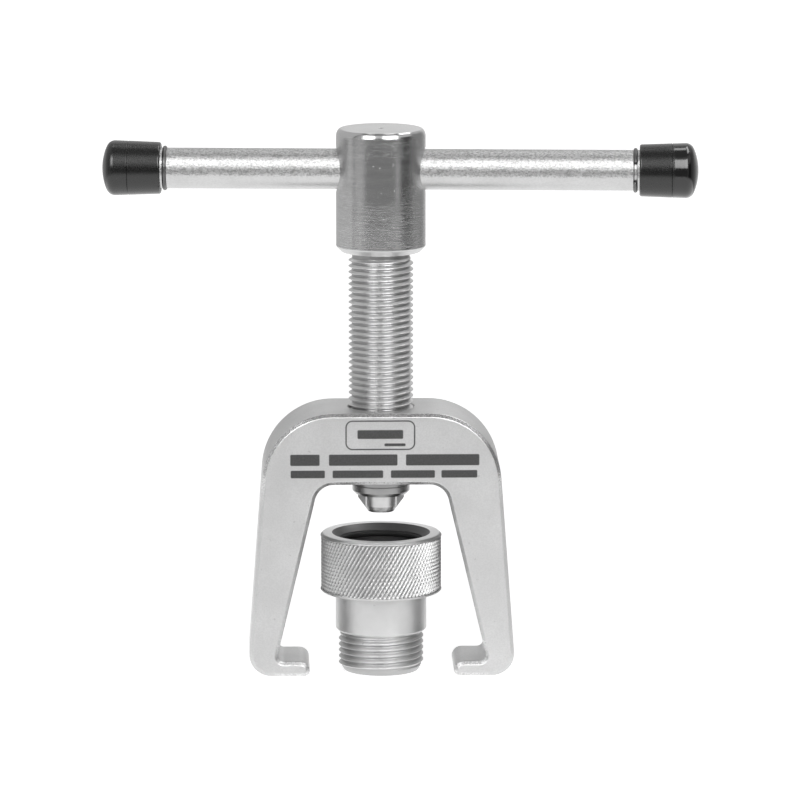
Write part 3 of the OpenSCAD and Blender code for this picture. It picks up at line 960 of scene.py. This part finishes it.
cap_profile = np.concatenate([[(0, BAR_HALF + 0.03), (CAP_BORE, BAR_HALF + 0.03)],
                              cap_side, dome[5:]])
for name, sign in (("left", -1), ("right", 1)):
    axis = (bar_middle[0], sign * along, sign * side, up)
    cap_piece = add_piece("end_cap_" + name + "_finished", turned(cap_profile, axis=axis))
    hand_over(cap_piece, "end_cap_" + name, "bar", "black_cap_plastic")


# %% [markdown]
# ## The pressure nose
# The nose stays still on the axle while the screw turns above it. Its shank runs
# in the screw's blind hole on a steel ball and is held there by a wire ring. Two
# flats on the cone take a spanner.

# %% Nose, ring and ball
NOSE_TOP = 44.1
NOSE_R = 5.7
FLAT_HALF = 1.3
SHANK_GROOVE = 0.49
KEEPER_WIRE = 0.45
KEEPER_GAP = 50
core_profile = np.concatenate([
    rounded_path([(0, NOSE_BOTTOM, 0, 0), (3.15, NOSE_BOTTOM, 0.2, 3),
                  (3.55, NOSE_BOTTOM + 0.4, 0.2, 3), (NOSE_CORE_R, NOSE_BOTTOM + 1.4, 0.15, 3),
                  (NOSE_CORE_R, NOSE_TOP, 0, 0)], hold=0.08),
    [(SHANK_R, NOSE_TOP), (SHANK_R, KEEPER_Z - SHANK_GROOVE)],
    ring_arc((SHANK_R, KEEPER_Z), SHANK_GROOVE, -93, -267, 12),
    rounded_path([(SHANK_R, KEEPER_Z + 0.5, 0, 0), (SHANK_R, SHANK_TOP, 0.3, 3),
                  (0, SHANK_TOP, 0, 0)], hold=0.1),
])
cone_profile = rounded_path([(0, NOSE_BOTTOM + 0.4, 0, 0), (3.45, NOSE_BOTTOM + 0.4, 0, 0),
                             (NOSE_R, NOSE_BOTTOM + 3.5, 0.2, 3),
                             (NOSE_R, NOSE_TOP - 0.01, 0.1, 3),
                             (0, NOSE_TOP - 0.01, 0, 0)], hold=0.08)
nose = add_piece("pressure_nose_finished", turned(core_profile))
cone = add_piece("nose_cone", turned(cone_profile))
flats = []
for sign in (-1, 1):
    corner = np.array([[(x, y, z) for x in (-7, 7) for y in (FLAT_HALF * sign, 7 * sign)]
                       for z in (NOSE_BOTTOM - 1, NOSE_TOP + 1)], float).reshape(-1, 3)
    faces = [(0, 1, 3, 2), (4, 6, 7, 5), (0, 4, 5, 1), (2, 3, 7, 6), (0, 2, 6, 4), (1, 5, 7, 3)]
    flats.append(add_piece("flat", corner, faces))
combine(cone, flats)
combine(nose, [cone], "UNION")
hand_over(nose, "pressure_nose", "nose", "hardened_nose_steel")

keeper_axis = (np.array((0.0, 0.0, KEEPER_Z)), *UPRIGHT[1:])
keeper = add_piece("nose_keeper_ring_finished",
                   wire_ring_grid(SHANK_R, KEEPER_WIRE, KEEPER_GAP, 90, keeper_axis, 48, 12))
hand_over(keeper, "nose_keeper_ring", "nose", "black_spring_steel")
ball = add_piece("thrust_ball_finished", turned(ring_arc((0, BALL_Z), BALL_R, -90, 90, 32), 64))
hand_over(ball, "thrust_ball", "nose", "hardened_nose_steel")


# %% [markdown]
# ## The adapter
# Two wheels with slanting teeth press the knurl into the turning head. They leave
# two sets of grooves that lean to either side, and the metal between them stands
# up in small diamonds. On this piece the grooves that lean right are the deeper
# ones, so the ridges beside them run through as bright slanting lines.
#
# The columns of the grid lean with the deep grooves, so every ridge is a row of
# points that follows it exactly.

# %% Knurl helper
TEETH = 84
KNURL_LEAN = math.radians(32)
KNURL_DEEP = 0.42
KNURL_FAINT = 0.28
KNURL_ROWS = 60


def ridge(phase):
    """A groove's height at a phase in turns: 0 in the groove, 1 on the ridge."""
    return np.abs(((phase + 0.5) % 1.0) - 0.5) * 2


def knurl_grid(low, high, radius, columns, rows, fade=0.15):
    """Rows of a crossed knurl from height low to high, in this many rows.

    At angle a and height s above low, the deep grooves have the phase
    TEETH a / 2 pi - s k and the faint ones TEETH a / 2 pi + s k, where k is the
    tangent of the lean over the tooth's width. The radius is that of the head
    minus KNURL_DEEP (1 - ridge of the first) and minus KNURL_FAINT (1 - ridge of
    the second), with both depths fading to 0 at the band's ends. Columns follow
    the deep grooves.
    """
    width = 2 * np.pi * radius / TEETH
    climb = math.tan(KNURL_LEAN) / width
    above = np.linspace(0, high - low, rows)
    base = np.linspace(0, 2 * np.pi, columns + 1)
    angle = base + (above * climb * 2 * np.pi / TEETH)[:, None]
    first = TEETH * base / (2 * np.pi)
    second = TEETH * angle / (2 * np.pi) + (above * climb)[:, None]
    share = np.clip(np.minimum(above, above[::-1]) / fade, 0, 1)[:, None]
    groove = KNURL_DEEP * (1 - ridge(first)) + KNURL_FAINT * (1 - ridge(second))
    reach = radius - share * groove
    return around(reach, angle, low + above[:, None])


# %% [markdown]
# The adapter's profile starts in its bore, comes out round the foot, goes up the
# thread, the neck and the knurled head, and returns over the rim to the mouth and
# the groove of the seal. Its thread is worn soft by the plating: fewer points and
# rounder crests. The slanted columns of the knurl end at another angle than they
# started from, so all rows above it are turned on by that angle.

# %% Adapter body
COLUMNS_PER_TOOTH = 5
ADAPTER_COLUMNS = COLUMNS_PER_TOOTH * TEETH
NECK_R = 11.25
ADAPTER_CREST = 10.5
ADAPTER_BORE = 8.5
BORE_LOW = 8.0
BORE_HIGH = ADAPTER_TOP - 6.0
MOUTH_BORE = 10.4
SEAL_WIRE = 0.75
SEAL_R = MOUTH_BORE - 0.6 + SEAL_WIRE
SEAL_Z = ADAPTER_TOP - 2.4
SOFT_THREAD = np.array([
    (0.0000, 0.90), (0.0800, 1.00), (0.1600, 0.90), (0.3000, 0.52),
    (0.4400, 0.14), (0.5800, 0.00), (0.7200, 0.14), (0.8600, 0.52),
])

foot = rounded_path([(ADAPTER_BORE, BORE_LOW, 0, 0), (ADAPTER_BORE, 0.0, 0.3, 3),
                     (9.2, 0.0, 0.25, 3), (ADAPTER_CORE, ADAPTER_THREAD_LOW, 0, 0)], hold=0.1)
neck = rounded_path([(ADAPTER_CORE, ADAPTER_THREAD_HIGH, 0, 0), (9.9, 10.0, 0.2, 2),
                     (10.65, 10.0, 0.25, 3), (NECK_R, 10.6, 0.35, 4),
                     (NECK_R, ADAPTER_HEAD_LOW, 0.2, 3),
                     (KNURL_R - 0.4, ADAPTER_HEAD_LOW, 0.15, 3),
                     (KNURL_R, ADAPTER_HEAD_LOW + 0.4, 0.2, 3), (KNURL_R, KNURL_LOW, 0, 0)],
                    hold=0.1)
rim = rounded_path([(KNURL_R, KNURL_HIGH, 0, 0), (KNURL_R, ADAPTER_TOP - 0.6, 0.15, 3),
                    (KNURL_R - 0.6, ADAPTER_TOP, 0.15, 3), (MOUTH_R, ADAPTER_TOP, 0.1, 3),
                    (MOUTH_BORE, ADAPTER_TOP - 1.5, 0.05, 2),
                    (MOUTH_BORE, SEAL_Z + 0.8, 0, 0)], hold=0.1)
bore = np.concatenate([
    ring_arc((SEAL_R, SEAL_Z), SEAL_WIRE + 0.05, 101, -101, 14),
    rounded_path([(MOUTH_BORE, SEAL_Z - 0.8, 0, 0), (MOUTH_BORE, BORE_HIGH, 0.15, 3),
                  (ADAPTER_BORE, BORE_HIGH, 0.15, 3), (ADAPTER_BORE, BORE_LOW, 0, 0)], hold=0.1),
])
adapter_grid = stacked(
    turned(foot, ADAPTER_COLUMNS),
    thread_grid(ADAPTER_THREAD_LOW, ADAPTER_THREAD_HIGH, ADAPTER_CORE, ADAPTER_CREST,
                ADAPTER_COLUMNS, 0.6, SOFT_THREAD),
    turned(neck, ADAPTER_COLUMNS),
    knurl_grid(KNURL_LOW, KNURL_HIGH, KNURL_R, ADAPTER_COLUMNS, KNURL_ROWS),
)
knurl_end = adapter_grid[-1, 0]
end_angle = math.atan2(knurl_end[1], knurl_end[0])
turned_on = np.array([[math.cos(end_angle), -math.sin(end_angle), 0],
                      [math.sin(end_angle), math.cos(end_angle), 0],
                      [0, 0, 1]])
above_knurl = stacked(turned(rim, ADAPTER_COLUMNS), turned(bore, ADAPTER_COLUMNS)) @ turned_on.T
adapter = add_piece("adapter_body_finished", stacked(adapter_grid, above_knurl))
hand_over(adapter, "adapter_body", "yoke", "knurled_adapter_steel")

seal = add_piece("adapter_seal_ring_finished",
                 turned(ring_arc((SEAL_R, SEAL_Z), SEAL_WIRE, 0, 360, 32), 128))
hand_over(seal, "adapter_seal_ring", "yoke", "seal_rubber")


# %% [markdown]
# ## Studio
# The tool stands on a white sheet in a small studio. Turned steel is a mirror, if a
# dull one, so what stands around it gives the head and the bar their stripes. Three
# things make it up: the room's tone at eye height, which changes with the compass
# angle; a ceiling, which is darker in front of the tool; and a few softboxes.
#
# The softboxes are easier to place by the steel that shows them than by their own
# direction: each is drawn where the steel that mirrors it faces and leans. Dull
# surfaces get only a small share of them. The camera itself sees plain white.

# %% Light of the room
# From one compass angle to the next the room's tone changes by an amount. 0 degrees
# is the camera's side, 90 the right.
ROOM_LEFT = 0.6
ROOM_CHANGES = [
    (-79, -76, -0.42),
    (-74, -71, 0.3),
    (-50, -38, -0.26),
    (34, 42, 0.22),
    (45, 54, -0.36),
    (76, 92, 0.24),
    (130, 160, 0.42),
]

# Which way the steel faces, from and to, how far it leans back, from and to, and
# how bright it shows a softbox there.
SOFTBOXES = [
    (-23.5, -10, 14, 32, 6.0),
    (2.5, 20.5, 14, 32, 6.0),
    (25, 42, 44, 64, 4.0),
    (-19, -12, 57, 63, 4.0),
    (4, 18, 57, 63, 4.0),
]
SOFT_EDGE = 1.5
DULL_SHARE = 0.15

# The ceiling begins where a direction climbs this much. Steel that faces the front
# sees its tone change as it leans back, and all steel sees it brighter near the top.
CEILING_CLIMB = (0.34, 0.5)
FRONT = (-28, 43)
FRONT_TONE = 0.7
FRONT_CHANGES = [(34, 40, -0.4), (54, 58, 0.1)]
BACK_TONE = 0.6
LEANS_FROM = (34, 40)
TOP_LEAN = (64, 74)
TOP_CHANGE = 0.45


def between(angle, low, high):
    """1 from low to high degrees, 0 elsewhere, with a soft edge."""
    rise = angle.steps_to(low - SOFT_EDGE, low + SOFT_EDGE)
    return rise * (1 - angle.steps_to(high - SOFT_EDGE, high + SOFT_EDGE))


def changed(tone, angle, changes):
    """The tone plus every change, each stepping in between its two angles."""
    for first, last, change in changes:
        tone = angle.steps_to(first, last) * change + tone
    return tone


def room_tone(x, y):
    """Tone of the room in the direction (x, y)."""
    return changed(ROOM_LEFT, x.angle_over(0 - y), ROOM_CHANGES)


def studio_walls(way_back):
    """White for the camera; for the steel, the room, the softboxes and the ceiling.

    A mirror shows the direction r to a camera in the direction v if its normal
    lies halfway, along r + v. The compass angle and the lean of that normal are
    the two coordinates in which the softboxes are drawn.
    """
    world = bpy.data.worlds.new("studio walls")
    world.use_nodes = True
    bpy.context.scene.world = world
    walls = Finish("walls", world.node_tree)
    background = walls.nodes["Background"]
    x, y, z = walls.split(walls.node("ShaderNodeTexCoord", "Generated"))
    half_x = x + way_back.x
    half_y = y + way_back.y
    half_z = z + way_back.z
    facing = half_x.angle_over(0 - half_y)
    lean = half_z.angle_over((half_x * half_x + half_y * half_y).power(0.5))

    in_front = between(facing, *FRONT)
    ceiling = z.steps_to(*CEILING_CLIMB)
    ceiling = ceiling * (1 - (1 - in_front) * (1 - lean.steps_to(*LEANS_FROM)))
    above = changed(FRONT_TONE, lean, FRONT_CHANGES)
    above = BACK_TONE + in_front * (above - BACK_TONE)
    above = above + lean.steps_to(*TOP_LEAN) * TOP_CHANGE
    tone = room_tone(x, y) * (1 - ceiling) + above * ceiling

    glossy = walls.node("ShaderNodeLightPath", "Is Glossy Ray")
    share = DULL_SHARE + (1 - DULL_SHARE) * glossy
    for face_low, face_high, lean_low, lean_high, bright in SOFTBOXES:
        box = between(facing, face_low, face_high) * between(lean, lean_low, lean_high)
        tone = tone + box * share * bright
    seen = walls.node("ShaderNodeLightPath", "Is Camera Ray")
    strength = seen + (1 - seen) * tone
    walls.links.new(strength.socket, background.inputs["Strength"])
    background.inputs["Color"].default_value = grey(1.0)
    print("softboxes face", [row[:2] for row in SOFTBOXES],
          "and lean", [row[2:4] for row in SOFTBOXES])


# %% [markdown]
# ## Floor
# The white sheet lies flat and is bright enough to melt into the white behind it.
# The steel mirrors the sheet as far as it reaches and the room beyond it.

# %% White sheet
SHEET_NEAR = 0.34
SHEET_FAR = 0.46
SHEET_TONE = 1.35
SHEET_GLOW = 0.8
FLOOR_HALF = 3000.0


def floor_finish():
    """One look for the camera, one for the steel and one for the light it throws."""
    finish = Finish("white sheet")
    x, y, z = finish.split(finish.place())
    sheet = finish.node("ShaderNodeBsdfDiffuse", "BSDF", None, Color=grey(0.5))
    glow = finish.node("ShaderNodeEmission", "Emission", None, Color=grey(1.0),
                       Strength=SHEET_GLOW)
    reach = (x * x + y * y).power(0.5)
    far = reach.steps_to(SHEET_NEAR, SHEET_FAR)
    tone = SHEET_TONE * (1 - far) + room_tone(x, y) * far
    mirrored = finish.node("ShaderNodeEmission", "Emission", None, Color=grey(1.0),
                           Strength=tone)
    shown = finish.nodes.new("ShaderNodeAddShader")
    finish.links.new(sheet.socket, shown.inputs[0])
    finish.links.new(glow.socket, shown.inputs[1])
    surface = sheet.socket
    for ray, other in (("Is Camera Ray", shown.outputs[0]), ("Is Glossy Ray", mirrored.socket)):
        choice = finish.nodes.new("ShaderNodeMixShader")
        finish.links.new(finish.node("ShaderNodeLightPath", ray).socket, choice.inputs[0])
        finish.links.new(surface, choice.inputs[1])
        finish.links.new(other, choice.inputs[2])
        surface = choice.outputs[0]
    finish.links.new(surface, finish.nodes["Material Output"].inputs["Surface"])
    return finish.material


floor_points = [[(x, y, 0) for x in (-FLOOR_HALF, FLOOR_HALF)]
                for y in (-FLOOR_HALF, FLOOR_HALF)]
floor = add_piece("floor", floor_points)
floor.data.materials.append(floor_finish())


# %% [markdown]
# ## Camera
# The photograph was taken from far away with a long lens: the bar's two caps look
# equally large, and both rims of the adapter are almost parallel ellipses. The
# eye is a little above the bar and a touch to the left.

# %% Camera
TARGET = Vector((0.0047, 0.0, 0.0676))
DISTANCE = 1.579
AZIMUTH = math.radians(-1.35)
ELEVATION = math.radians(9.9)
LENS = 288.0

camera_data = bpy.data.cameras.new("camera")
camera_data.lens = LENS
camera_data.sensor_width = 36.0
camera_data.clip_end = 50.0
camera = bpy.data.objects.new("camera", camera_data)
way_back = Vector((math.sin(AZIMUTH) * math.cos(ELEVATION),
                   -math.cos(AZIMUTH) * math.cos(ELEVATION),
                   math.sin(ELEVATION)))
camera.location = TARGET + DISTANCE * way_back
camera.rotation_euler = (-way_back).to_track_quat("-Z", "Y").to_euler()
bpy.context.scene.collection.objects.link(camera)
bpy.context.scene.camera = camera
bpy.context.scene.view_settings.view_transform = "Standard"
studio_walls(way_back)
